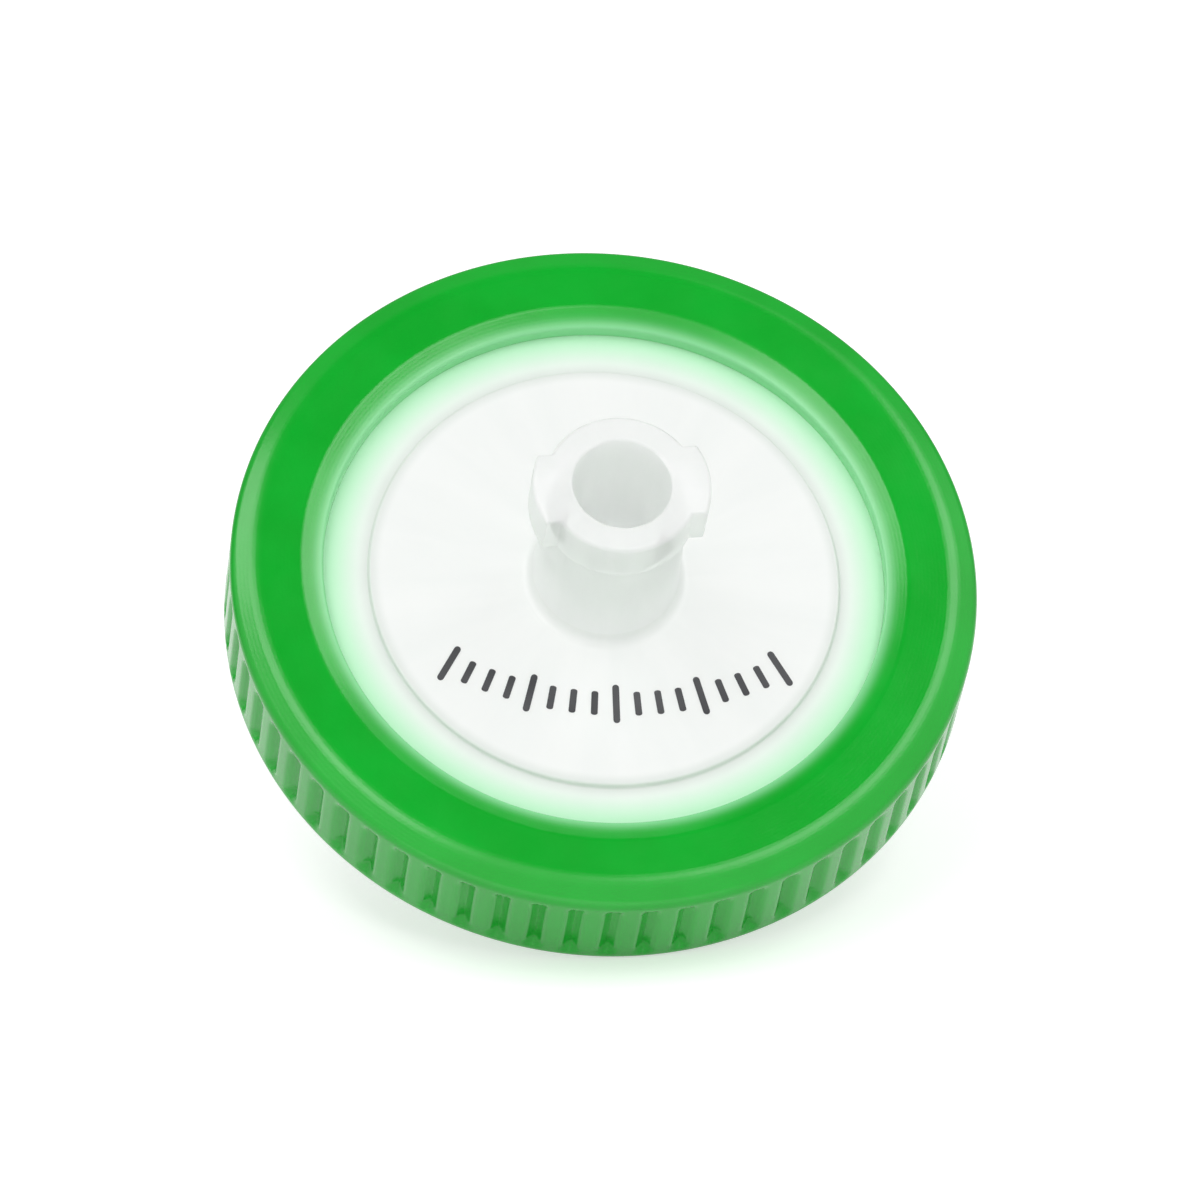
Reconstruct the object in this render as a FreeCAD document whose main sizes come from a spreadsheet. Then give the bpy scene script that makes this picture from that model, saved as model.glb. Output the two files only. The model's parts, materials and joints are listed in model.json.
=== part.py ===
import FreeCAD, Part
import math
import os
import re

import Sketcher

# Syringe filter for a 25 mm membrane, in millimetres.
#
# Two moulded halves clamp the membrane, and a ribbed ring is moulded over their rims.
# The inlet half carries the female Luer lock port, the outlet half the male Luer nozzle.
# Each piece is built upright about its own Z axis: height 0 is the ring's outlet face,
# and the inlet side is up. At the end all pieces are laid over together, because the
# filter rests on the edge of its ring and on the end of its nozzle.

SIZES = {
    # Membrane, which sets the filter's width
    "membrane_diameter": (25.0, "disc of membrane"),
    "membrane_thickness": (0.13, "thickness of the membrane"),
    "membrane_clearance": (0.1, "gap around the membrane in its seat"),
    "clamp_width": (1.3, "edge of the membrane that is clamped"),
    # Joint between the halves
    "joint_width": (2.2, "from the membrane's seat out to the rims' edge"),
    "inlet_rim_height": (1.0, "thickness of the inlet half's rim"),
    "boss_height": (0.5, "boss of the inlet half that presses on the membrane"),
    "boss_clearance": (0.05, "gap around the boss in the outlet half's seat"),
    # Ring moulded over the rims
    "ring_height": (5.7, "from the outlet face to the inlet face"),
    "ring_wall": (1.7, "from the rims out to the ribs' crests"),
    "ring_face_width": (4.1, "from the window's edge out to the ribs' crests"),
    "lip_height": (1.0, "thickness of the ring's lip over each rim"),
    "edge_bevel_width": (1.1, "bevel of both outer edges, across the face"),
    "edge_bevel_height": (0.45, "bevel of both outer edges, along the axis"),
    "window_bevel_width": (1.0, "bevel of both window edges, across the face"),
    "window_bevel_height": (0.3, "bevel of both window edges, along the axis"),
    "rib_count": (64, "grip ribs around the side"),
    "rib_gap_depth": (0.35, "depth of the gaps between the ribs"),
    "rib_gap_width": (0.95, "width of a gap at the ribs' crests"),
    "rib_gap_margin": (0.9, "from each face of the ring in to the gaps' ends"),
    # Inlet half
    "inlet_recess": (0.9, "plate below the ring's inlet face"),
    "pad_margin": (2.0, "from the window's edge in to each half's raised pad"),
    "pad_rise": (0.25, "rise of each pad over its plate"),
    "feed_depth": (0.65, "height of the space over the membrane"),
    "feed_rib_count": (12, "ribs that spread the liquid"),
    "feed_rib_width": (0.5, "width of a feed rib"),
    "feed_rib_height": (0.45, "how far a feed rib hangs down"),
    "feed_rib_start": (2.4, "distance of a feed rib's inner end from the axis"),
    "feed_rib_gap": (0.9, "from a feed rib's outer end to the chamber's wall"),
    "feed_hole_diameter": (2.0, "hole from the socket into the chamber"),
    "feed_hole_length": (1.8, "length of that hole"),
    # Female Luer lock port
    "port_height": (8.2, "port above the pad"),
    "socket_diameter": (4.3, "mouth of the tapered socket"),
    "luer_taper": (0.06, "change of diameter for each unit of length"),
    "port_wall": (0.9, "wall around the socket's mouth, without the flange"),
    "hub_draft": (0.2, "how much wider the hub is at its root, on each side"),
    "hub_root_bevel": (0.4, "bevel where the hub meets the pad"),
    "flange_step": (0.3, "step from the hub out to its flange"),
    "flange_height": (2.2, "height of the flange and its lugs"),
    "flange_bevel": (0.2, "bevel of the end edges of the flange and lugs"),
    "lug_reach": (0.55, "how far a lug stands out from the flange"),
    "lug_width": (3.4, "width of a lug"),
    # Outlet half
    "outlet_recess": (0.8, "plate above the ring's outlet face"),
    "drain_depth": (0.8, "height of the space under the membrane"),
    "support_count": (3, "rings that carry the membrane"),
    "support_width": (0.5, "width of a support ring"),
    "support_start": (2.6, "distance of the first support ring from the axis"),
    "channel_count": (6, "drain channels through the support rings"),
    "channel_width": (1.0, "width of a drain channel"),
    "outlet_turn": (30, "degrees from the inlet half's lugs to a drain channel"),
    # Male Luer nozzle
    "nozzle_length": (10.75, "nozzle's end below the ring's outlet face"),
    "nozzle_end_diameter": (3.97, "nozzle at its end"),
    "nozzle_end_bevel": (0.4, "bevel of the nozzle's end"),
    "nozzle_bore": (2.1, "flow hole through the nozzle"),
    "collar_length": (2.4, "collar below the ring's outlet face"),
    "collar_step": (0.6, "step from the nozzle's root out to its collar"),
    "collar_bevel": (0.3, "bevels at both ends of the collar"),
}

# Radii and heights that several features share, each worked out in the sheet from the sizes
SHARED = {
    "seat_radius": "membrane_diameter / 2 + membrane_clearance",
    "open_radius": "membrane_diameter / 2 - clamp_width",
    "rim_radius": "seat_radius + joint_width",
    "ring_radius": "rim_radius + ring_wall",
    "face_edge_radius": "ring_radius - edge_bevel_width",
    "window_radius": "ring_radius - ring_face_width",
    "window_edge_radius": "window_radius + window_bevel_width",
    "pad_radius": "window_radius - pad_margin",
    "hub_radius": "socket_diameter / 2 + port_wall",
    "hub_root_radius": "hub_radius + hub_draft",
    "flange_radius": "hub_radius + flange_step",
    "lug_radius": "flange_radius + lug_reach",
    "nozzle_end_radius": "nozzle_end_diameter / 2",
    "nozzle_root_radius": "nozzle_end_radius + luer_taper * (nozzle_length - collar_length) / 2",
    "collar_radius": "nozzle_root_radius + collar_step",
    "inlet_rim_top": "ring_height - lip_height",
    "joint_level": "inlet_rim_top - inlet_rim_height",
    "clamp_level": "joint_level - boss_height",
    "seat_level": "clamp_level - membrane_thickness",
    "drain_floor": "seat_level - drain_depth",
    "chamber_top": "clamp_level + feed_depth",
    "plate_top": "ring_height - inlet_recess",
    "pad_top": "plate_top + pad_rise",
    "port_end": "pad_top + port_height",
    "flange_base": "port_end - flange_height",
    "socket_end": "chamber_top + feed_hole_length",
    "socket_end_radius": "(socket_diameter - luer_taper * (port_end - socket_end)) / 2",
    "support_pitch": "(open_radius - support_start) / support_count",
}

PLACED_TOLERANCE = 1e-6


def bound(expression):
    """The expression with each name from the sheet turned into a reference to its cell."""
    return re.sub(r"[a-z_]+", r"Sizes.\g<0>", expression)


def add_sheet(doc):
    """The spreadsheet that drives the model: a name, a value or formula and a note per row."""
    sheet = doc.addObject("Spreadsheet::Sheet", "Sizes")
    rows = [(name, str(value), note) for name, (value, note) in SIZES.items()]
    rows += [(name, f"={formula}", "worked out") for name, formula in SHARED.items()]
    for row, (name, content, note) in enumerate(rows, start=1):
        sheet.set(f"A{row}", name)
        sheet.set(f"B{row}", content)
        sheet.setAlias(f"B{row}", name)
        sheet.set(f"C{row}", note)
    doc.recompute()
    return sheet


def origin_plane(body, role):
    """One of the body's own origin planes, such as XZ_Plane."""
    return next(item for item in body.Origin.OriginFeatures if item.Role == role)


def add_sketch(body, name, role, height="0"):
    """An empty sketch on one of the body's planes, moved along that plane's normal."""
    sketch = body.newObject("Sketcher::SketchObject", name)
    sketch.AttachmentSupport = (origin_plane(body, role), "")
    sketch.MapMode = "FlatFace"
    sketch.setExpression(".AttachmentOffset.Base.z", bound(height))
    return sketch


def pin(sketch, geometry, point, across, up):
    """Hold one point of the sketch at a place that the sheet gives."""
    for kind, place in (("DistanceX", across), ("DistanceY", up)):
        constraint = Sketcher.Constraint(kind, -1, 1, geometry, point, 1.0)
        index = sketch.addConstraint(constraint)
        sketch.setExpression(f"Constraints[{index}]", bound(place))


def draw_outline(sketch, corners):
    """A closed outline of straight edges, each corner held at a place that the sheet gives."""
    count = len(corners)
    start = [
        FreeCAD.Vector(math.cos(math.tau * i / count), math.sin(math.tau * i / count), 0)
        for i in range(count)
    ]
    edges = [
        sketch.addGeometry(Part.LineSegment(start[i], start[(i + 1) % count]), False)
        for i in range(count)
    ]
    for i, edge in enumerate(edges):
        following = edges[(i + 1) % count]
        sketch.addConstraint(Sketcher.Constraint("Coincident", edge, 2, following, 1))
        pin(sketch, edge, 1, *corners[i])


def box_corners(left, right, bottom, top):
    """The corners of a rectangle."""
    return [(left, bottom), (right, bottom), (right, top), (left, top)]


def turned(body, kind, name, outlines):
    """A Revolution or a Groove: outlines of radius and height turned about the Z axis."""
    before = body.Tip.Shape.Volume if body.Tip else 0.0
    sketch = add_sketch(body, f"{name}_outline", "XZ_Plane")
    for corners in outlines:
        draw_outline(sketch, corners)
    feature = body.newObject(f"PartDesign::{kind}", name)
    feature.Profile = sketch
    feature.ReferenceAxis = (sketch, ["V_Axis"])
    feature.Angle = 360
    sketch.Visibility = False
    return changed(feature, before, adds=kind == "Revolution")


def drawn_out(body, kind, name, sketch, length, reverse=False):
    """A Pad or a Pocket of a sketch."""
    before = body.Tip.Shape.Volume
    feature = body.newObject(f"PartDesign::{kind}", name)
    feature.Profile = sketch
    feature.Reversed = reverse
    feature.setExpression("Length", bound(length))
    sketch.Visibility = False
    return changed(feature, before, adds=kind == "Pad")


def repeated(body, name, feature, count):
    """The feature repeated evenly around the Z axis, as many times as the sheet says."""
    adds = feature.TypeId == "PartDesign::Pad"
    before = body.Tip.Shape.Volume
    pattern = body.newObject("PartDesign::PolarPattern", name)
    pattern.Originals = [feature]
    pattern.Axis = (origin_axis(body), [""])
    pattern.Angle = 360
    pattern.setExpression("Occurrences", bound(count))
    body.Tip = pattern
    return changed(pattern, before, adds)


def origin_axis(body):
    """The body's own Z axis."""
    return next(item for item in body.Origin.OriginFeatures if item.Role == "Z_Axis")


def changed(feature, before, adds):
    """The feature, once it is known to have added or cut material."""
    feature.Document.recompute()
    gain = feature.Shape.Volume - before
    if gain == 0 or (gain > 0) != adds:
        raise RuntimeError(f"{feature.Name} changed the volume by {gain:.3f}")
    return feature


def bevelled(body, name, size, circles):
    """A Chamfer on the round edges that lie at the given radii and heights."""
    base = body.Tip
    feature = body.newObject("PartDesign::Chamfer", name)
    feature.Base = (base, [edge for circle in circles for edge in edges_at(base, *circle)])
    feature.setExpression("Size", bound(size))
    feature.Document.recompute()
    return feature


def edges_at(feature, radius, height):
    """The names of the round edges about the Z axis at this radius and height."""
    names = []
    for number, edge in enumerate(feature.Shape.Edges, start=1):
        curve = edge.Curve
        if not isinstance(curve, Part.Circle):
            continue
        beside = math.hypot(curve.Center.x, curve.Center.y)
        miss = max(abs(curve.Radius - radius), abs(curve.Center.z - height), beside)
        if miss < PLACED_TOLERANCE:
            names.append(f"Edge{number}")
    if not names:
        raise RuntimeError(f"no round edge at radius {radius:.3f}, height {height:.3f}")
    return names


def sealing_ring(doc):
    """The ring: a channel section around both rims, with the gaps between its ribs cut in."""
    body = doc.addObject("PartDesign::Body", "sealing_ring")
    section = [
        ("window_radius", "window_bevel_height"),
        ("window_edge_radius", "0"),
        ("face_edge_radius", "0"),
        ("ring_radius", "edge_bevel_height"),
        ("ring_radius", "ring_height - edge_bevel_height"),
        ("face_edge_radius", "ring_height"),
        ("window_edge_radius", "ring_height"),
        ("window_radius", "ring_height - window_bevel_height"),
        ("window_radius", "inlet_rim_top"),
        ("rim_radius", "inlet_rim_top"),
        ("rim_radius", "lip_height"),
        ("window_radius", "lip_height"),
    ]
    turned(body, "Revolution", "channel_ring", [section])

    # The gap is a V that flares on past the crests, so that it cuts right through them. It
    # stops short of both faces and leaves the ring's edges smooth.
    floor = "ring_radius - rib_gap_depth"
    outer = "ring_radius + rib_gap_depth"
    gap = add_sketch(body, "rib_gap_outline", "XY_Plane", "rib_gap_margin")
    draw_outline(gap, [(floor, "0"), (outer, "-rib_gap_width"), (outer, "rib_gap_width")])
    length = "ring_height - 2 * rib_gap_margin"
    rib_gap = drawn_out(body, "Pocket", "rib_gap", gap, length, reverse=True)
    repeated(body, "rib_gaps", rib_gap, "rib_count")
    return body


def lug_sketch(body, sheet):
    """The flange's two lugs as one outline: two chords, and two arcs around the axis."""
    sketch = add_sketch(body, "lug_outline", "XY_Plane", "flange_base")
    radius = sheet.lug_radius
    corner = math.asin(sheet.lug_width / 2 / radius)
    circle = Part.Circle(FreeCAD.Vector(0, 0, 0), FreeCAD.Vector(0, 0, 1), radius)
    ends = [-corner, corner, math.pi - corner, math.pi + corner]
    points = [FreeCAD.Vector(radius * math.cos(a), radius * math.sin(a), 0) for a in ends]
    right = sketch.addGeometry(Part.ArcOfCircle(circle, ends[0], ends[1]), False)
    top = sketch.addGeometry(Part.LineSegment(points[1], points[2]), False)
    left = sketch.addGeometry(Part.ArcOfCircle(circle, ends[2], ends[3]), False)
    bottom = sketch.addGeometry(Part.LineSegment(points[3], points[0]), False)
    loop = [right, top, left, bottom]
    for edge, following in zip(loop, loop[1:] + loop[:1]):
        sketch.addConstraint(Sketcher.Constraint("Coincident", edge, 2, following, 1))
    for arc in (right, left):
        sketch.addConstraint(Sketcher.Constraint("Coincident", arc, 3, -1, 1))
        index = sketch.addConstraint(Sketcher.Constraint("Radius", arc, radius))
        sketch.setExpression(f"Constraints[{index}]", bound("lug_radius"))
    for line, side in ((top, "lug_width / 2"), (bottom, "-lug_width / 2")):
        sketch.addConstraint(Sketcher.Constraint("Horizontal", line))
        index = sketch.addConstraint(Sketcher.Constraint("DistanceY", -1, 1, line, 1, 1.0))
        sketch.setExpression(f"Constraints[{index}]", bound(side))
    return sketch


def inlet_housing(doc, sheet):
    """The inlet half: plate, raised pad and female Luer lock port, with ribs over the membrane."""
    body = doc.addObject("PartDesign::Body", "inlet_housing")
    boss = "seat_radius - boss_clearance"
    shell = [
        ("0", "clamp_level"),
        (boss, "clamp_level"),
        (boss, "joint_level"),
        ("rim_radius", "joint_level"),
        ("rim_radius", "inlet_rim_top"),
        ("window_radius", "inlet_rim_top"),
        ("window_radius", "plate_top"),
        ("pad_radius", "plate_top"),
        ("pad_radius", "pad_top"),
        ("hub_root_radius", "pad_top"),
        ("hub_radius", "flange_base"),
        ("flange_radius", "flange_base"),
        ("flange_radius", "port_end"),
        ("0", "port_end"),
    ]
    turned(body, "Revolution", "plate_and_port", [shell])
    drawn_out(body, "Pad", "lugs", lug_sketch(body, sheet), "flange_height")

    hub_root = [(sheet.hub_root_radius, sheet.pad_top)]
    bevelled(body, "hub_root", "hub_root_bevel", hub_root)
    rims = [(sheet.flange_radius, sheet.port_end), (sheet.lug_radius, sheet.port_end)]
    bevelled(body, "flange_edges", "flange_bevel", rims)

    flow_path = [
        ("0", "clamp_level"),
        ("open_radius", "clamp_level"),
        ("open_radius", "chamber_top"),
        ("feed_hole_diameter / 2", "chamber_top"),
        ("feed_hole_diameter / 2", "socket_end"),
        ("socket_end_radius", "socket_end"),
        ("socket_diameter / 2", "port_end"),
        ("0", "port_end"),
    ]
    turned(body, "Groove", "flow_path", [flow_path])

    rib = add_sketch(body, "feed_rib_outline", "XY_Plane", "chamber_top - feed_rib_height")
    half_width = "feed_rib_width / 2"
    rib_end = "open_radius - feed_rib_gap"
    corners = box_corners("feed_rib_start", rib_end, f"-{half_width}", half_width)
    draw_outline(rib, corners)
    feed_rib = drawn_out(body, "Pad", "feed_rib", rib, "feed_rib_height")
    repeated(body, "feed_ribs", feed_rib, "feed_rib_count")
    return body


def outlet_housing(doc, sheet):
    """The outlet half: plate and male Luer nozzle, with rings and channels under the membrane."""
    body = doc.addObject("PartDesign::Body", "outlet_housing")
    shell = [
        ("0", "-nozzle_length"),
        ("nozzle_end_radius", "-nozzle_length"),
        ("nozzle_root_radius", "-collar_length"),
        ("collar_radius", "-collar_length"),
        ("collar_radius", "outlet_recess - pad_rise"),
        ("pad_radius", "outlet_recess - pad_rise"),
        ("pad_radius", "outlet_recess"),
        ("window_radius", "outlet_recess"),
        ("window_radius", "lip_height"),
        ("rim_radius", "lip_height"),
        ("rim_radius", "joint_level"),
        ("0", "joint_level"),
    ]
    turned(body, "Revolution", "plate_and_nozzle", [shell])
    collar_ends = (-sheet.collar_length, sheet.outlet_recess - sheet.pad_rise)
    collar_edges = [(sheet.collar_radius, level) for level in collar_ends]
    bevelled(body, "collar_edges", "collar_bevel", collar_edges)
    nozzle_end = [(sheet.nozzle_end_radius, -sheet.nozzle_length)]
    bevelled(body, "nozzle_end", "nozzle_end_bevel", nozzle_end)

    flow_path = [
        ("0", "-nozzle_length"),
        ("nozzle_bore / 2", "-nozzle_length"),
        ("nozzle_bore / 2", "drain_floor"),
        ("open_radius", "drain_floor"),
        ("open_radius", "seat_level"),
        ("seat_radius", "seat_level"),
        ("seat_radius", "joint_level"),
        ("0", "joint_level"),
    ]
    turned(body, "Groove", "flow_path", [flow_path])
    drain_floor(body, sheet)
    turn = FreeCAD.Rotation(FreeCAD.Vector(0, 0, 1), sheet.outlet_turn)
    body.Placement = FreeCAD.Placement(FreeCAD.Vector(0, 0, 0), turn)
    return body


def drain_floor(body, sheet):
    """The rings that carry the membrane, and the drain channels cut through them."""
    rings = []
    for i in range(round(sheet.support_count)):
        middle = f"support_start + {i} * support_pitch"
        sides = (f"{middle} - support_width / 2", f"{middle} + support_width / 2")
        rings.append(box_corners(*sides, "drain_floor", "seat_level"))
    turned(body, "Revolution", "support_rings", rings)

    channel = add_sketch(body, "drain_channel_outline", "XY_Plane", "seat_level")
    half_width = "channel_width / 2"
    reach = "open_radius - support_pitch / 2"
    corners = box_corners("nozzle_bore / 2", reach, f"-{half_width}", half_width)
    draw_outline(channel, corners)
    drain_channel = drawn_out(body, "Pocket", "drain_channel", channel, "drain_depth")
    repeated(body, "drain_channels", drain_channel, "channel_count")


def membrane(doc):
    """The membrane: a thin disc that lies in the outlet half's seat."""
    body = doc.addObject("PartDesign::Body", "membrane")
    disc = box_corners("0", "membrane_diameter / 2", "seat_level", "clamp_level")
    turned(body, "Revolution", "disc", [disc])
    return body


def resting_tilt(sheet):
    """How far the filter leans, in degrees, when its ring and its nozzle's end touch the floor.

    Seen from the side, the floor is the line that touches one corner of the ring's outlet
    edge and one corner of the nozzle's end, with all the other corners above it.
    """
    ring_corners = [
        (sheet.face_edge_radius, 0),
        (sheet.ring_radius, sheet.edge_bevel_height),
    ]
    nozzle_corners = [
        (sheet.nozzle_end_radius - sheet.nozzle_end_bevel, -sheet.nozzle_length),
        (sheet.nozzle_end_radius, -sheet.nozzle_length + sheet.nozzle_end_bevel),
    ]
    lines = [
        min(math.atan2(up - end_up, out - end_out) for out, up in ring_corners)
        for end_out, end_up in nozzle_corners
    ]
    return math.degrees(max(lines))


def lay_down(bodies, tilt):
    """Lean every piece over and stand the whole on the floor, its middle over the origin."""
    lean = FreeCAD.Rotation(FreeCAD.Vector(1, 0, 0), tilt)
    whole = Part.makeCompound([body.Shape for body in bodies])
    whole.Placement = FreeCAD.Placement(FreeCAD.Vector(0, 0, 0), lean)
    box = whole.optimalBoundingBox(False, False)
    shift = FreeCAD.Vector(-box.Center.x, -box.Center.y, -box.ZMin)
    for body in bodies:
        body.Placement = FreeCAD.Placement(shift, lean).multiply(body.Placement)
    return shift


def check(doc, bodies):
    """Stop if any feature failed or a piece isn't one sound solid."""
    for item in doc.Objects:
        if {"Invalid", "Error"} & set(item.State):
            raise RuntimeError(f"{item.Name} failed: {item.State}")
    for body in bodies:
        shape = body.Shape
        if shape.isNull() or not shape.isValid() or len(shape.Solids) != 1:
            raise RuntimeError(f"{body.Name} isn't one sound solid")


def main():
    """Build the document, check it and write one STEP file for each piece."""
    doc = FreeCAD.newDocument("syringe_filter")
    sheet = add_sheet(doc)
    bodies = [
        inlet_housing(doc, sheet),
        membrane(doc),
        outlet_housing(doc, sheet),
        sealing_ring(doc),
    ]
    tilt = resting_tilt(sheet)
    shift = lay_down(bodies, tilt)
    doc.recompute()
    check(doc, bodies)

    os.makedirs("parts", exist_ok=True)
    for body in bodies:
        body.Shape.exportStep(os.path.join("parts", f"{body.Name}.step"))
        print(f"{body.Name}: {body.Shape.Volume:.2f} mm3, {len(body.Shape.Faces)} faces")
    print(f"leans {tilt:.4f} degrees, moved by {shift.x:.4f}, {shift.y:.4f}, {shift.z:.4f}")


main()
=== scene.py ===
"""Looks of a syringe filter: two milky halves with Luer ports, held by a green ribbed ring.

Each piece is shaped upright in the filter's own frame, in millimetres: height 0 is the ring's
outlet face, and the inlet side is up. A Stance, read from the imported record, then lays it down
where the CAD model lies, in metres.
"""

from __future__ import annotations

import json
import logging
import math
from collections.abc import Mapping, Sequence
from dataclasses import dataclass, field
from enum import Enum
from typing import Any

import bmesh
import bpy
from mathutils import Matrix, Vector

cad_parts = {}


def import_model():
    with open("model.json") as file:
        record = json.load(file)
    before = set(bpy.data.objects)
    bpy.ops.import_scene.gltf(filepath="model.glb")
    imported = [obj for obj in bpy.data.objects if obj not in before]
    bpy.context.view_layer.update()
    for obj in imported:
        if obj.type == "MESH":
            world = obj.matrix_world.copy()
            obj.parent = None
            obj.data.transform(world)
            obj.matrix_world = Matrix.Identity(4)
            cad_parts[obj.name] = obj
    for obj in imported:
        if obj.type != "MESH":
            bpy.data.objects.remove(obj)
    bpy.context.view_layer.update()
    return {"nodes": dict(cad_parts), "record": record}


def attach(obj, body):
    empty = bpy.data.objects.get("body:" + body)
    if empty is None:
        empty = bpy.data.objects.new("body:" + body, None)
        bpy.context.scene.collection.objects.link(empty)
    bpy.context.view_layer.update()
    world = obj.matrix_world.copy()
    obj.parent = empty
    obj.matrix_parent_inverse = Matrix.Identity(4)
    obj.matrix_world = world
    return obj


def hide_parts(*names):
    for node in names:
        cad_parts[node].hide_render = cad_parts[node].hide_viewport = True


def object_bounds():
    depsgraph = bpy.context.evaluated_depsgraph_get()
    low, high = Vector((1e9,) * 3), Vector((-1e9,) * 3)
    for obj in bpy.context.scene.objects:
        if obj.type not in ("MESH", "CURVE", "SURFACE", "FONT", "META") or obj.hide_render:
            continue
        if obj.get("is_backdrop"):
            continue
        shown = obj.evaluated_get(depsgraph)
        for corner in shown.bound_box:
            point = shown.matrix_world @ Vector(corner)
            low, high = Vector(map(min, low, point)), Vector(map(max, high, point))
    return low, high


log = logging.getLogger("syringe_filter")

MM = 0.001  # in metres

Colour = tuple[float, float, float, float]
Point = tuple[float, float]


class Slot(Enum):
    """The record's material slots, one held by each new piece; nothing here reads them."""

    HOUSING = "natural_polypropylene"
    RING = "green_polypropylene"


class Sum(Enum):
    """The arithmetic that a Math node is asked for."""

    ADD = "ADD"
    SUBTRACT = "SUBTRACT"
    MULTIPLY = "MULTIPLY"
    DIVIDE = "DIVIDE"
    LEAST = "MINIMUM"
    MOST = "MAXIMUM"
    BELOW = "LESS_THAN"
    SIZE = "ABSOLUTE"
    NEAREST = "ROUND"
    REMAINDER = "MODULO"
    SINE = "SINE"
    COSINE = "COSINE"
    BEARING = "ARCTAN2"
    ROOT = "SQRT"


# ---------------------------------------------------------------------------------------------
# Nodes written as expressions
# ---------------------------------------------------------------------------------------------


class Flow:
    """An output of a node. Arithmetic on it adds Math nodes to its graph."""

    def __init__(self, graph: Graph, socket: bpy.types.NodeSocket) -> None:
        """Keep the output and its graph.

        Args:
            graph: The graph that new nodes are added to.
            socket: The output socket.
        """
        self.graph = graph
        self.socket = socket

    def __add__(self, other: Flow | float) -> Flow:
        """This plus the other."""
        return self.graph.sum(Sum.ADD, self, other)

    def __radd__(self, other: float) -> Flow:
        """The other plus this."""
        return self.graph.sum(Sum.ADD, other, self)

    def __sub__(self, other: Flow | float) -> Flow:
        """This minus the other."""
        return self.graph.sum(Sum.SUBTRACT, self, other)

    def __rsub__(self, other: float) -> Flow:
        """The other minus this."""
        return self.graph.sum(Sum.SUBTRACT, other, self)

    def __mul__(self, other: Flow | float) -> Flow:
        """This times the other."""
        return self.graph.sum(Sum.MULTIPLY, self, other)

    def __rmul__(self, other: float) -> Flow:
        """The other times this."""
        return self.graph.sum(Sum.MULTIPLY, other, self)

    def __truediv__(self, other: Flow | float) -> Flow:
        """This divided by the other."""
        return self.graph.sum(Sum.DIVIDE, self, other)

    def __rtruediv__(self, other: float) -> Flow:
        """The other divided by this."""
        return self.graph.sum(Sum.DIVIDE, other, self)

    def __abs__(self) -> Flow:
        """This without its sign."""
        return self.graph.sum(Sum.SIZE, self)

    def beside(self, name: str) -> Flow:
        """Another output of the same node.

        Args:
            name: The other output's name.

        Returns:
            That output.
        """
        return Flow(self.graph, self.socket.node.outputs[name])


class Graph:
    """Adds nodes to one node tree."""

    def __init__(self, tree: bpy.types.NodeTree) -> None:
        """Start with an empty tree.

        Args:
            tree: The tree, whose nodes are cleared.
        """
        self.tree = tree
        tree.nodes.clear()

    def node(
        self,
        kind: str,
        settings: Mapping[str, Any] | None = None,
        sockets: Mapping[str | int, Any] | None = None,
        out: str | int = 0,
    ) -> Flow:
        """Add one node.

        Args:
            kind: The node's type.
            settings: Properties that are set first.
            sockets: A value or a link for each named or numbered input.
            out: The output that is handed back.

        Returns:
            That output, or for a node with no output an input.
        """
        node = self.tree.nodes.new(kind)
        for name, value in (settings or {}).items():
            setattr(node, name, value)
        for name, value in (sockets or {}).items():
            if isinstance(value, Flow):
                self.tree.links.new(value.socket, node.inputs[name])
            else:
                node.inputs[name].default_value = value
        return Flow(self, node.outputs[out] if node.outputs else node.inputs[0])

    def sum(self, kind: Sum, *values: Flow | float) -> Flow:
        """One Math node.

        Args:
            kind: The arithmetic.
            values: Its one or two numbers.

        Returns:
            The result.
        """
        return self.node("ShaderNodeMath", {"operation": kind.value}, dict(enumerate(values)))

    def ease(self, value: Flow, start: float | Flow, end: float | Flow) -> Flow:
        """A smooth step.

        Args:
            value: What is tested.
            start: The value at which the step is still 0.
            end: The value at which it has become 1.

        Returns:
            A number from 0 to 1.
        """
        settings = {"interpolation_type": "SMOOTHSTEP"}
        sockets = {"Value": value, "From Min": start, "From Max": end}
        return self.node("ShaderNodeMapRange", settings, sockets)

    def mix(self, share: Flow | float, first: Flow | Colour, second: Flow | Colour) -> Flow:
        """One colour mixed with another.

        Args:
            share: How much of the second colour shows, from 0 to 1.
            first: The first colour.
            second: The second colour.

        Returns:
            The mixed colour.
        """
        sockets = {0: share, 6: first, 7: second}
        return self.node("ShaderNodeMix", {"data_type": "RGBA"}, sockets, 2)

    def xyz(self, vector: Flow) -> tuple[Flow, Flow, Flow]:
        """A vector's three numbers.

        Args:
            vector: The vector.

        Returns:
            Its X, Y and Z.
        """
        first = self.node("ShaderNodeSeparateXYZ", None, {"Vector": vector})
        return first, first.beside("Y"), first.beside("Z")


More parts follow.
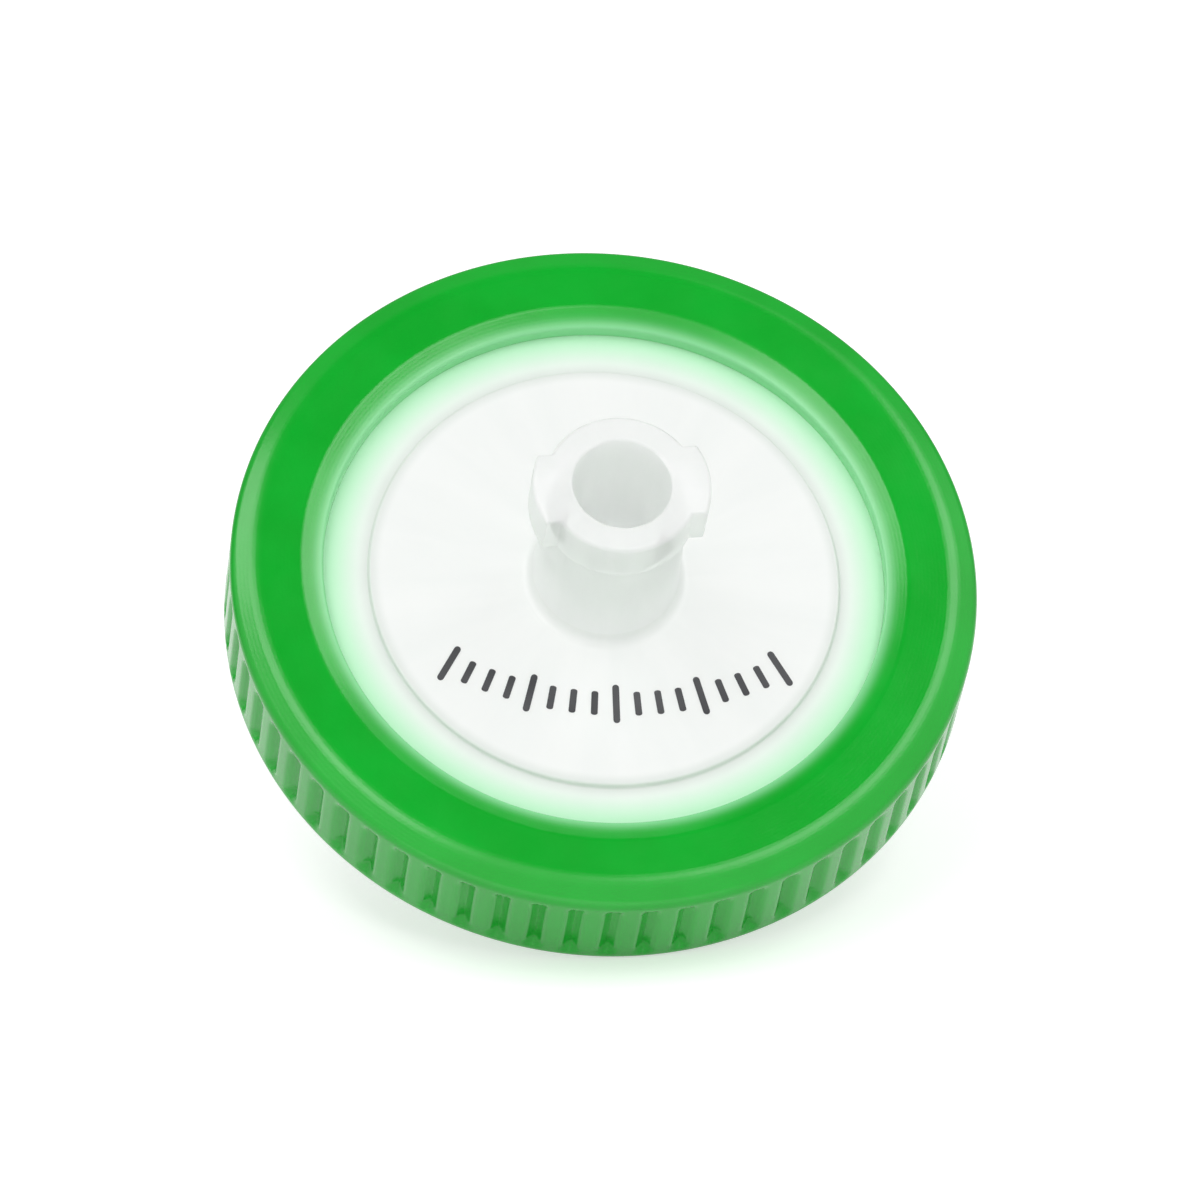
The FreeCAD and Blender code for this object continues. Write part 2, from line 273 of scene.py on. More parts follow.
class SizedTree:
    """A geometry tree with a named input for each size, made once and run on an object."""

    def __init__(self, name: str, sizes: Mapping[str, float | int | bpy.types.Material]) -> None:
        """Start a tree.

        Args:
            name: The tree's name.
            sizes: The name and value of each input.
        """
        self.tree = bpy.data.node_groups.new(name, "GeometryNodeTree")
        self.graph = Graph(self.tree)
        self.sizes = dict(sizes)
        self.keys: dict[str, str] = {}
        make = self.tree.interface.new_socket
        make("Geometry", in_out="INPUT", socket_type="NodeSocketGeometry")
        for label, value in self.sizes.items():
            kind = {int: "Int", float: "Float"}.get(type(value), "Material")
            socket = make(label, in_out="INPUT", socket_type=f"NodeSocket{kind}")
            self.keys[label] = socket.identifier
        make("Geometry", in_out="OUTPUT", socket_type="NodeSocketGeometry")
        self.given = self.graph.node("NodeGroupInput")

    def size(self, label: str) -> Flow:
        """The input with this name."""
        return self.given.beside(label)

    def end(self, geometry: Flow, on_port: Flow | None = None) -> None:
        """End the tree: real geometry instead of instances, with the finish on it.

        Args:
            geometry: What the tree has made.
            on_port: Where the port's own finish goes instead, if it has one.
        """
        real = self.graph.node("GeometryNodeRealizeInstances", None, {"Geometry": geometry})
        sockets = {"Geometry": real, "Material": self.size("Finish")}
        dressed = self.graph.node("GeometryNodeSetMaterial", None, sockets)
        if on_port:
            port = {"Selection": on_port, "Material": self.size("Port Finish")}
            sockets = {"Geometry": dressed, **port}
            dressed = self.graph.node("GeometryNodeSetMaterial", None, sockets)
        self.graph.node("NodeGroupOutput", None, {0: dressed})

    def run(self, obj: bpy.types.Object) -> None:
        """Replace an object's mesh with what the tree makes of it.

        Args:
            obj: The object, whose mesh is the tree's input.
        """
        modifier = obj.modifiers.new(self.tree.name, "NODES")
        modifier.node_group = self.tree
        for label, value in self.sizes.items():
            modifier[self.keys[label]] = value
        evaluated = obj.evaluated_get(bpy.context.evaluated_depsgraph_get())
        mesh = bpy.data.meshes.new_from_object(evaluated)
        obj.modifiers.remove(modifier)
        obj.data = mesh


# ---------------------------------------------------------------------------------------------
# Where the filter lies
# ---------------------------------------------------------------------------------------------


@dataclass(frozen=True)
class Stance:
    """Where the filter's own upright frame lies in the row frame, in metres."""

    origin: Vector
    lean: float

    @classmethod
    def of(cls, record: Mapping[str, Any], nozzle_length: float) -> Stance:
        """Read the stance from the two Luer mounts.

        Args:
            record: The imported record.
            nozzle_length: From the nozzle's end up to height 0, in millimetres.

        Returns:
            The stance.
        """
        places = {mount["name"]: Vector(mount["pos_m"]) for mount in record["mounts"]}
        nozzle_end = places["outlet_luer_nozzle"]
        axis = (places["inlet_luer_socket"] - nozzle_end).normalized()
        origin = nozzle_end + axis * nozzle_length * MM
        return cls(origin, math.atan2(-axis.y, axis.z))

    @property
    def matrix(self) -> Matrix:
        """Turns millimetres in the filter's frame into metres in the row frame."""
        turn = Matrix.Rotation(self.lean, 4, "X")
        return Matrix.Translation(self.origin) @ turn @ Matrix.Scale(MM, 4)

    def coordinates(self, graph: Graph) -> Flow:
        """The filter's own coordinates inside a material, in millimetres.

        Args:
            graph: The material's graph.

        Returns:
            The coordinates.
        """
        place = graph.node("ShaderNodeTexCoord", None, None, "Object")
        sockets = {
            "Vector": place,
            "Location": self.origin,
            "Rotation": (self.lean, 0.0, 0.0),
            "Scale": (MM, MM, MM),
        }
        return graph.node("ShaderNodeMapping", {"vector_type": "TEXTURE"}, sockets)


# ---------------------------------------------------------------------------------------------
# Finishes
# ---------------------------------------------------------------------------------------------


CLOUD_SCALE = 0.25  # clouds of the second colour in a millimetre
CLOUD_SPAN = (0.3, 0.7)  # noise levels between which they pass from colour to colour
PATCH_SCALE = 0.6  # patches of other roughness in a millimetre
PATCH_DETAIL = 4.0  # finer layers of noise in the patches and the streaks
SKIN_DETAIL = 2.0  # finer layers of noise in the skin
PLASTIC_IOR = 1.49  # how strongly polypropylene bends light


@dataclass(frozen=True)
class Finish:
    """What every moulded or printed surface has: a colour, a gloss and a fine skin.

    Attributes:
        name: The material's name.
        colour: One of the two colours that its clouds are made of.
        second_colour: The other.
        roughness: Its roughness.
        roughness_spread: How far the roughness strays from that.
        skin_scale: Bumps in a millimetre.
        skin_depth: The bumps' height, in millimetres.
    """

    name: str
    colour: Colour
    second_colour: Colour
    roughness: float
    roughness_spread: float
    skin_scale: float
    skin_depth: float

    def build(self, stance: Stance) -> bpy.types.Material:
        """Make the material.

        Args:
            stance: Where the filter lies.

        Returns:
            The material.
        """
        material = bpy.data.materials.new(self.name)
        material.use_nodes = True
        graph = Graph(material.node_tree)
        place = stance.coordinates(graph)
        look = {
            "Base Color": self.tint(graph, place),
            "Roughness": self.gloss(graph, place),
            "Normal": self.skin(graph, place),
        }
        shader = self.surface(graph, place, look)
        graph.node("ShaderNodeOutputMaterial", None, {"Surface": shader})
        return material

    def surface(self, graph: Graph, place: Flow, look: dict[str, Flow]) -> Flow:
        """The surface's shader.

        Args:
            graph: The material's graph.
            place: Coordinates in millimetres.
            look: What varies over the surface: its colour, roughness and bumps.

        Returns:
            The shader's output.
        """
        return graph.node("ShaderNodeBsdfPrincipled", None, {**look})

    def noise(self, graph: Graph, place: Flow, scale: float, detail: float = 3.0) -> Flow:
        """Soft noise from 0 to 1.

        Args:
            graph: The material's graph.
            place: Coordinates in millimetres.
            scale: Waves in a millimetre.
            detail: How many finer layers there are.

        Returns:
            The noise.
        """
        sockets = {"Vector": place, "Scale": scale, "Detail": detail}
        return graph.node("ShaderNodeTexNoise", None, sockets)

    def tint(self, graph: Graph, place: Flow) -> Flow:
        """The surface's colour: clouds of the two colours.

        Args:
            graph: The material's graph.
            place: Coordinates in millimetres.

        Returns:
            The colour.
        """
        clouds = graph.ease(self.noise(graph, place, CLOUD_SCALE), *CLOUD_SPAN)
        return graph.mix(clouds, self.colour, self.second_colour)

    def gloss(self, graph: Graph, place: Flow) -> Flow:
        """The surface's roughness, uneven as handled plastic is.

        Args:
            graph: The material's graph.
            place: Coordinates in millimetres.

        Returns:
            The roughness.
        """
        uneven = self.noise(graph, place, PATCH_SCALE, PATCH_DETAIL) - 0.5
        return self.roughness + uneven * (2.0 * self.roughness_spread)

    def skin(self, graph: Graph, place: Flow) -> Flow:
        """The surface's fine bumps.

        Args:
            graph: The material's graph.
            place: Coordinates in millimetres.

        Returns:
            The bumped normal.
        """
        height = self.noise(graph, place, self.skin_scale, SKIN_DETAIL)
        sockets = {"Strength": 1.0, "Distance": self.skin_depth * MM, "Height": height}
        return graph.node("ShaderNodeBump", None, sockets)


@dataclass(frozen=True)
class RingPlastic(Finish):
    """Glossy coloured polypropylene with turned mould lines, painted paler where the lip thins
    out for the light that shines through it.

    Attributes:
        window_radius: The lip's thin edge.
        painted_lip_glow: The painted glow for light shining through that edge, which also
            lightens the shade on the window's wall.
        painted_glow_width: How far the painted glow reaches out from it.
        painted_glow_share: How strong it is at the edge.
        turning_pitch: From one line of the turned mould to the next.
        turning_depth: The lines' depth.
    """

    window_radius: float = 12.4
    painted_lip_glow: Colour = (0.30, 0.78, 0.38, 1.0)
    painted_glow_width: float = 1.2
    painted_glow_share: float = 0.8
    turning_pitch: float = 0.16
    turning_depth: float = 0.0004

    def tint(self, graph: Graph, place: Flow) -> Flow:
        """Clouds of green, and a painted glow on the edge beside the window, for light shining
        through the thin lip.

        Args:
            graph: The material's graph.
            place: Coordinates in millimetres.

        Returns:
            The colour.
        """
        x, y, _ = graph.xyz(place)
        radius = graph.sum(Sum.ROOT, x * x + y * y)
        # Painted light: the edge beside the window is mixed towards a pale green glow, for light
        # shining through the thin lip.
        edge = graph.ease(radius, self.window_radius + self.painted_glow_width, self.window_radius)
        thin = edge * edge
        glow = thin * thin * self.painted_glow_share
        return graph.mix(glow, super().tint(graph, place), self.painted_lip_glow)

    def skin(self, graph: Graph, place: Flow) -> Flow:
        """Fine bumps over the rings that the turned mould leaves.

        Args:
            graph: The material's graph.
            place: Coordinates in millimetres.

        Returns:
            The bumped normal.
        """
        x, y, _ = graph.xyz(place)
        radius = graph.sum(Sum.ROOT, x * x + y * y)
        turning = graph.sum(Sum.SINE, radius * (math.tau / self.turning_pitch))
        fine = self.noise(graph, place, self.skin_scale, SKIN_DETAIL) * self.skin_depth
        height = (fine + turning * self.turning_depth) * MM
        sockets = {"Strength": 1.0, "Distance": 1.0, "Height": height}
        return graph.node("ShaderNodeBump", None, sockets)


@dataclass(frozen=True)
class MilkyPlastic(Finish):
    """Natural polypropylene: cloudy, with light that wanders inside it.

    Attributes:
        opacity: How much of what is behind a thin wall it hides.
        shade: How much of its light a wall keeps from what is behind it.
        waxiness: How much of the light wanders inside before it comes out.
        wander: How far it wanders, in millimetres.
        middle: The height half-way between the two faces.
        root: How far from there the ports' roots are, where the plastic is thick and hides all.
        root_fade: Over how much of a port that passes into its thin wall.
        painted_ring_light: The painted colour of the ring's green light, thrown and scattered
            into the plate beside it.
        window_radius: The ring's window.
        ring_light_width: How far that painted light reaches in from the window's edge.
        ring_light_share: How strong it is at the edge.
        step_radius: The pad's edge, along which a line of shade is painted.
        step_shade_width: How wide that painted shade line is.
        painted_step_shade: Its colour.
        step_shade_share: How strong it is.
        streak_count: How many flow marks run out from the middle.
        streak_core: The radius within which they run together.
        streak_depth: How much they change along the axis, for each millimetre.
        streak_span: The noise levels between which they pass from one colour to the other.
    """

    opacity: float
    shade: float
    waxiness: float
    wander: float
    middle: float = 2.8
    root: float = 3.0
    root_fade: float = 7.0
    painted_ring_light: Colour = (0.45, 0.98, 0.56, 1.0)
    window_radius: float = 12.4
    ring_light_width: float = 2.1
    ring_light_share: float = 0.75
    step_radius: float = 10.4
    step_shade_width: float = 0.6
    painted_step_shade: Colour = (0.60, 0.66, 0.61, 1.0)
    step_shade_share: float = 0.4
    streak_count: float = 5.0
    streak_core: float = 2.0
    streak_depth: float = 0.15
    streak_span: Point = (0.25, 0.75)

    def surface(self, graph: Graph, place: Flow, look: dict[str, Flow]) -> Flow:
        """The shader, whose inside scatters light.

        Args:
            graph: The material's graph.
            place: Coordinates in millimetres.
            look: What varies over the surface.

        Returns:
            The shader's output.
        """
        inside = {
            "IOR": PLASTIC_IOR,
            "Subsurface Weight": self.waxiness,
            "Subsurface Radius": (1.0, 1.0, 1.0),
            "Subsurface Scale": self.wander * MM,
        }
        if self.shade == 1.0:
            return graph.node("ShaderNodeBsdfPrincipled", None, {**look, **inside})
        _, _, z = graph.xyz(place)
        thick = graph.ease(abs(z - self.middle), self.root + self.root_fade, self.root)
        inside["Alpha"] = self.opacity + thick * (1.0 - self.opacity)
        wall = graph.node("ShaderNodeBsdfPrincipled", None, {**look, **inside})
        rays = graph.node("ShaderNodeLightPath", None, None, "Is Shadow Ray")
        passing = graph.sum(Sum.MOST, rays, rays.beside("Is Diffuse Ray"))
        clear = graph.node("ShaderNodeBsdfTransparent")
        sockets = {0: passing * (1.0 - self.shade), 1: wall, 2: clear}
        return graph.node("ShaderNodeMixShader", None, sockets)

    def tint(self, graph: Graph, place: Flow) -> Flow:
        """Clouds drawn out the way that the plastic flowed, a painted shade line along the pad's
        edge, and the ring's green light painted on the plate beside it.

        Args:
            graph: The material's graph.
            place: Coordinates in millimetres.

        Returns:
            The colour.
        """
        x, y, z = graph.xyz(place)
        radius = graph.sum(Sum.ROOT, x * x + y * y)
        around = radius + self.streak_core
        spread = {
            "X": x / around * self.streak_count,
            "Y": y / around * self.streak_count,
            "Z": z * self.streak_depth,
        }
        streaks = graph.node("ShaderNodeCombineXYZ", None, spread)
        flow = graph.ease(self.noise(graph, streaks, 1.0, PATCH_DETAIL), *self.streak_span)
        milky = graph.mix(flow, self.colour, self.second_colour)
        # Painted shade: a grey line along the pad's edge, where the step shades the plate.
        step_shade_mask = graph.ease(abs(radius - self.step_radius), self.step_shade_width, 0.0)
        milky = graph.mix(step_shade_mask * self.step_shade_share, milky, self.painted_step_shade)
        # Painted light: the plate is tinted green towards the window's edge, for the ring's light
        # thrown and scattered into it.
        beside = graph.ease(radius, self.window_radius - self.ring_light_width, self.window_radius)
        return graph.mix(beside * self.ring_light_share, milky, self.painted_ring_light)


@dataclass(frozen=True)
class MembraneFilm(Finish):
    """The membrane: matt white with a porous grain."""


@dataclass(frozen=True)
class Ink(Finish):
    """Dark pad-printed ink, a little thin in places."""


# ---------------------------------------------------------------------------------------------
# Turned pieces
# ---------------------------------------------------------------------------------------------


@dataclass(frozen=True)
class Corner:
    """A corner of a section.

    Attributes:
        radius: Its distance from the axis.
        height: Its height.
        rounding: The radius of its rounding, or 0 for a sharp corner.
        parts: How many parts the edge to the next corner is divided into.
    """

    radius: float
    height: float
    rounding: float = 0.0
    parts: int = 1


ARC_STEP = math.radians(15)  # the largest turn between two points of a rounding
HOLD_LINE = 0.05  # from a rounding to the point that holds the flat beside it


def rounded_arc(before: Vector, corner: Corner, after: Vector) -> list[Vector]:
    """The points of one rounded corner.

    Args:
        before: The corner before it.
        corner: The corner.
        after: The corner after it.

    Returns:
        The points from one tangent point to the other, or the corner alone if it is sharp.
    """
    tip = Vector((corner.radius, corner.height))
    back, on = (before - tip).normalized(), (after - tip).normalized()
    turn = math.pi - back.angle(on)
    if corner.rounding == 0.0 or turn < ARC_STEP / 4:
        return [tip]
    reach = corner.rounding * math.tan(turn / 2)
    middle = tip + (back + on).normalized() * math.hypot(reach, corner.rounding)
    start, end = tip + back * reach - middle, tip + on * reach - middle
    first = math.atan2(start.y, start.x)
    sweep = math.remainder(math.atan2(end.y, end.x) - first, math.tau)
    count = max(2, math.ceil(turn / ARC_STEP))
    bearings = [first + sweep * step / count for step in range(count + 1)]
    ray = corner.rounding
    return [middle + Vector((ray * math.cos(a), ray * math.sin(a))) for a in bearings]


def rounded_section(corners: Sequence[Corner]) -> list[Vector]:
    """A closed section with its corners rounded and its long edges divided.

    A point just beyond each rounding keeps the flat beside it flat where it is shaded.

    Args:
        corners: The corners in order.

    Returns:
        The points in order.
    """
    tips = [Vector((corner.radius, corner.height)) for corner in corners]
    count = len(tips)
    arcs = [
        rounded_arc(tips[i - 1], corner, tips[(i + 1) % count])
        for i, corner in enumerate(corners)
    ]
    points: list[Vector] = []
    for i, corner in enumerate(corners):
        points += arcs[i]
        start, end = arcs[i][-1], arcs[(i + 1) % count][0]
        length = (end - start).length
        places = {n / corner.parts for n in range(1, corner.parts)}
        if length > 4 * HOLD_LINE:
            hold = HOLD_LINE / length
            places |= {hold} if len(arcs[i]) > 1 else set()
            places |= {1 - hold} if len(arcs[(i + 1) % count]) > 1 else set()
        points += [start.lerp(end, place) for place in sorted(places)]
    return points


PATH_RADIUS = 100.0  # of the circle that a section is swept along before the rule moves it
SHARP_ANGLE = math.radians(40)  # edges that turn more than this are shaded as sharp
WELD = 0.0005  # points nearer than this become one


@dataclass
class TurnedPiece:
    """A piece whose section is swept around the axis and then shaped by a rule.

    The fields that a kind of piece adds are its sizes in millimetres, and its counts.

    Attributes:
        name: The piece's name.
        node: The CAD node that it stands for.
        slot: The record's slot for its finish; not used.
        finish: What it is dressed in.
        segments: Steps around the axis.
        port_finish: What its port is dressed in, if it has one.
    """

    name: str
    node: str
    slot: Slot
    finish: Finish
    segments: int
    port_finish: Finish | None = None

    def corners(self) -> list[Corner]:
        """The corners of the section."""
        raise NotImplementedError

    def sizes(self) -> dict[str, float | int]:
        """The tree's named inputs that the rule reads."""
        return {}

    def rule(self, tree: SizedTree, radius: Flow, angle: Flow, height: Flow) -> tuple[Flow, Flow]:
        """Where a point of the swept section goes.

        Args:
            tree: The tree, whose inputs are the sizes.
            radius: The point's distance from the axis.
            angle: Its bearing, in radians.
            height: Its height.

        Returns:
            Its new distance from the axis and its new height.
        """
        return radius, height

    def on_port(self, tree: SizedTree, height: Flow) -> Flow:
        """Whether a face belongs to the port.

        Args:
            tree: The tree, whose inputs are the sizes.
            height: The height of the face's middle.

        Returns:
            1 on the port and 0 elsewhere.
        """
        raise NotImplementedError

    def build(self, stance: Stance) -> bpy.types.Object:
        """Make the piece, lay it down and let it ride on the body.

        Args:
            stance: Where the filter lies.

        Returns:
            The finished object.
        """
        points = rounded_section(self.corners())
        count = len(points)
        mesh = bpy.data.meshes.new(self.name)
        edges = [(i, (i + 1) % count) for i in range(count)]
        mesh.from_pydata([(p.x, -p.y, 0.0) for p in points], edges, [])
        obj = bpy.data.objects.new(self.name, mesh)
        bpy.context.scene.collection.objects.link(obj)
        materials = {"Finish": self.finish.build(stance)}
        if self.port_finish:
            materials["Port Finish"] = self.port_finish.build(stance)
        self.swept(materials).run(obj)
        settle(obj, stance)
        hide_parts(self.node)
        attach(obj, "root")
        return obj

    def swept(self, materials: Mapping[str, bpy.types.Material]) -> SizedTree:
        """The tree that sweeps the section around the axis and applies the rule.

        Args:
            materials: The finish, and the port's finish if it has its own.

        Returns:
            The tree.
        """
        sizes = {"Segments": self.segments, **self.sizes(), **materials}
        tree = SizedTree(f"{self.name}_sweep", sizes)
        graph = tree.graph
        circle = {"Resolution": tree.size("Segments"), "Radius": PATH_RADIUS}
        path = graph.node("GeometryNodeCurvePrimitiveCircle", {"mode": "RADIUS"}, circle)
        section = graph.node("GeometryNodeMeshToCurve", None, {"Mesh": tree.given})
        lines = {"Curve": path, "Profile Curve": section}
        surface = graph.node("GeometryNodeCurveToMesh", None, lines)
        x, y, z = graph.xyz(graph.node("GeometryNodeInputPosition"))
        angle = graph.sum(Sum.BEARING, y, x)
        radius = graph.sum(Sum.ROOT, x * x + y * y) - PATH_RADIUS
        radius, height = self.rule(tree, radius, angle, z)
        across = graph.sum(Sum.COSINE, angle) * radius
        along = graph.sum(Sum.SINE, angle) * radius
        place = graph.node("ShaderNodeCombineXYZ", None, {"X": across, "Y": along, "Z": height})
        moved = {"Geometry": surface, "Position": place}
        moved = graph.node("GeometryNodeSetPosition", None, moved)
        _, _, new_height = graph.xyz(graph.node("GeometryNodeInputPosition"))
        tree.end(moved, self.on_port(tree, new_height) if self.port_finish else None)
        return tree


def settle(obj: bpy.types.Object, stance: Stance) -> None:
    """Close a finished mesh where points met, face it outwards, smooth it and lay it down.

    Args:
        obj: The object, whose mesh is in the filter's own frame.
        stance: Where the filter lies.
    """
    mesh = obj.data
    work = bmesh.new()
    work.from_mesh(mesh)
    bmesh.ops.remove_doubles(work, verts=work.verts, dist=WELD)
    bmesh.ops.recalc_face_normals(work, faces=work.faces)
    work.to_mesh(mesh)
    work.free()
    mesh.transform(stance.matrix)
    mesh.shade_smooth()
    mesh.set_sharp_from_angle(angle=SHARP_ANGLE)


def lateral(graph: Graph, radius: Flow, angle: Flow, count: Flow) -> Flow:
    """How far a point lies to the side of the nearest of several evenly spaced spokes.

    Args:
        graph: The graph.
        radius: The point's distance from the axis.
        angle: Its bearing.
        count: How many spokes there are; the first lies along X.

    Returns:
        The distance.
    """
    turns = angle * count / math.tau
    off = abs(turns - graph.sum(Sum.NEAREST, turns))
    return graph.sum(Sum.SINE, off * math.tau / count) * radius


@dataclass
class SealingRing(TurnedPiece):
    """The ribbed ring that is moulded over the rims of both halves."""

    window_radius: float = 12.4
    window_edge_radius: float = 13.4
    face_edge_radius: float = 15.4
    crest_radius: float = 16.5
    rim_radius: float = 14.8
    height: float = 5.7
    lip: float = 1.0
    window_bevel: float = 0.3
    outer_bevel: float = 0.45
    rib_count: int = 64
    gap_width: float = 1.0
    gap_depth: float = 0.38
    gap_margin: float = 0.85
    gap_end: float = 0.4
    side_parts: int = 22

    def corners(self) -> list[Corner]:
        """A channel that is open inwards, with soft bevels at the window and outside.

        Returns:
            The corners, in order.
        """
        top = self.height
        return [
            Corner(self.window_radius, self.window_bevel, 0.12),
            Corner(self.window_edge_radius, 0.0, 0.6),
            Corner(self.face_edge_radius, 0.0, 1.6),
            Corner(self.crest_radius, self.outer_bevel, 0.4, self.side_parts),
            Corner(self.crest_radius, top - self.outer_bevel, 0.4),
            Corner(self.face_edge_radius, top, 1.6),
            Corner(self.window_edge_radius, top, 0.6),
            Corner(self.window_radius, top - self.window_bevel, 0.12),
            Corner(self.window_radius, top - self.lip),
            Corner(self.rim_radius, top - self.lip),
            Corner(self.rim_radius, self.lip),
            Corner(self.window_radius, self.lip),
        ]

    def sizes(self) -> dict[str, float | int]:
        """The ribs' sizes.

        Returns:
            The name and value of each.
        """
        return {
            "Rib Count": self.rib_count,
            "Gap Width": self.gap_width,
            "Gap Depth": self.gap_depth,
            "Gap Margin": self.gap_margin,
            "Gap End": self.gap_end,
            "Crest Radius": self.crest_radius,
            "Height": self.height,
        }

    def rule(self, tree: SizedTree, radius: Flow, angle: Flow, height: Flow) -> tuple[Flow, Flow]:
        """No point between two ribs reaches past the gap's wall, and the gap has round ends.

        Args:
            tree: The tree, whose inputs are the sizes.
            radius: The point's distance from the axis.
            angle: Its bearing, in radians.
            height: Its height.

        Returns:
            Its new distance from the axis and its new height.
        """
        graph, size = tree.graph, tree.size
        crest = size("Crest Radius")
        side = lateral(graph, crest, angle, size("Rib Count"))
        across = graph.ease(side, size("Gap Width") / 2.0, 0.0)
        from_face = size("Height") / 2.0 - abs(height - size("Height") / 2.0)
        along = graph.ease(from_face, size("Gap Margin"), size("Gap Margin") + size("Gap End"))
        wall = crest - across * along * size("Gap Depth")
        return graph.sum(Sum.LEAST, radius, wall), height


FIT = 0.015  # gap between pieces that meet face to face
SEAM = 0.003  # gap at a plate's edge, and under the print
LEVEL = 0.02  # how far from a level a height still counts as on it
LUG_START = 0.03  # how far under the flange's base its lugs begin
SLOPE = 0.1  # how far the edge of a rib or a lug is spread
LEAST_SINE = 0.01  # keeps a division by a sine from growing without end


@dataclass
class InletHalf(TurnedPiece):
    """The inlet half: plate, raised pad and female Luer lock port with two lugs."""

    clamp_level: float = 3.2
    joint_level: float = 3.7
    rim_top: float = 4.7
    plate_top: float = 4.8
    pad_top: float = 5.05
    flange_base: float = 11.05
    port_end: float = 13.25
    chamber_top: float = 3.85
    socket_end: float = 5.65
    open_radius: float = 11.2
    boss_radius: float = 12.55
    rim_radius: float = 14.8
    window_radius: float = 12.4
    pad_radius: float = 10.4
    hub_root_radius: float = 3.25
    hub_radius: float = 3.05
    flange_radius: float = 3.35
    lug_radius: float = 3.9
    lug_width: float = 3.4
    socket_radius: float = 2.15
    socket_end_radius: float = 1.922
    feed_hole_radius: float = 1.0
    feed_rib_count: int = 12
    feed_rib_width: float = 0.5
    feed_rib_height: float = 0.45
    feed_rib_start: float = 2.4
    feed_rib_end: float = 10.3
    feed_rib_parts: int = 8

    def corners(self) -> list[Corner]:
        """Round the outside from the chamber up to the port, and down the flow path.

        Returns:
            The corners, in order.
        """
        return [
            Corner(self.open_radius, self.clamp_level + FIT),
            Corner(self.boss_radius, self.clamp_level + FIT),
            Corner(self.boss_radius, self.joint_level + FIT),
            Corner(self.rim_radius - FIT, self.joint_level + FIT),
            Corner(self.rim_radius - FIT, self.rim_top - FIT),
            Corner(self.window_radius - SEAM, self.rim_top - FIT),
            Corner(self.window_radius - SEAM, self.plate_top),
            Corner(self.pad_radius, self.plate_top, 0.1),
            Corner(self.pad_radius, self.pad_top, 0.12),
            Corner(self.hub_root_radius, self.pad_top, 0.5),
            Corner(self.hub_radius, self.flange_base, 0.15),
            Corner(self.flange_radius, self.flange_base, 0.1),
            Corner(self.flange_radius, self.port_end, 0.2),
            Corner(self.socket_radius, self.port_end, 0.12),
            Corner(self.socket_end_radius, self.socket_end, 0.3),
            Corner(self.feed_hole_radius, self.socket_end, 0.1),
            Corner(self.feed_hole_radius, self.chamber_top, 0.1),
            Corner(self.feed_rib_start, self.chamber_top, 0.0, self.feed_rib_parts),
            Corner(self.feed_rib_end, self.chamber_top),
            Corner(self.open_radius, self.chamber_top, 0.2),
        ]

    def sizes(self) -> dict[str, float | int]:
        """The lugs' and feed ribs' sizes.

        Returns:
            The name and value of each.
        """
        return {
            "Flange Base": self.flange_base,
            "Hub Radius": self.hub_radius,
            "Flange Radius": self.flange_radius,
            "Lug Radius": self.lug_radius,
            "Lug Width": self.lug_width,
            "Feed Rib Count": self.feed_rib_count,
            "Feed Rib Width": self.feed_rib_width,
            "Feed Rib Height": self.feed_rib_height,
            "Feed Rib Start": self.feed_rib_start,
            "Feed Rib End": self.feed_rib_end,
            "Chamber Top": self.chamber_top,
            "Socket End": self.socket_end,
        }

    def on_port(self, tree: SizedTree, height: Flow) -> Flow:
        """The port's thin walls are all that stands above the socket's floor.

        Args:
            tree: The tree, whose inputs are the sizes.
            height: The height of the face's middle.

        Returns:
            1 on the port and 0 elsewhere.
        """
        return tree.graph.sum(Sum.BELOW, tree.size("Socket End") + LEVEL, height)

    def rule(self, tree: SizedTree, radius: Flow, angle: Flow, height: Flow) -> tuple[Flow, Flow]:
        """The flange bulges into two lugs, and ribs hang from the chamber's ceiling.

        Args:
            tree: The tree, whose inputs are the sizes.
            radius: The point's distance from the axis.
            angle: Its bearing, in radians.
            height: Its height.

        Returns:
            Its new distance from the axis and its new height.
        """
        graph, size = tree.graph, tree.size
        across = graph.sum(Sum.MOST, abs(graph.sum(Sum.SINE, angle)), LEAST_SINE)
        side = size("Lug Width") / 2.0 / across
        lug = graph.sum(Sum.LEAST, size("Lug Radius"), side)
        bulge = graph.sum(Sum.MOST, lug - size("Flange Radius"), 0.0)
        base = size("Flange Base")
        on_flange = graph.ease(height, base - LUG_START, base - LEVEL)
        outside = graph.ease(radius, size("Hub Radius"), size("Hub Radius") + SLOPE)
        new_radius = radius + bulge * on_flange * outside

        beside = lateral(graph, radius, angle, size("Feed Rib Count"))
        half = size("Feed Rib Width") / 2.0
        on_rib = graph.ease(beside, half + SLOPE, half - SLOPE)
        under = graph.ease(abs(height - size("Chamber Top")), LEVEL, 0.0)
        reach = graph.ease(radius, size("Feed Rib Start") - SLOPE, size("Feed Rib Start"))
        stop = graph.ease(radius, size("Feed Rib End") + SLOPE, size("Feed Rib End"))
        drop = on_rib * under * reach * stop * size("Feed Rib Height")
        return new_radius, height - drop


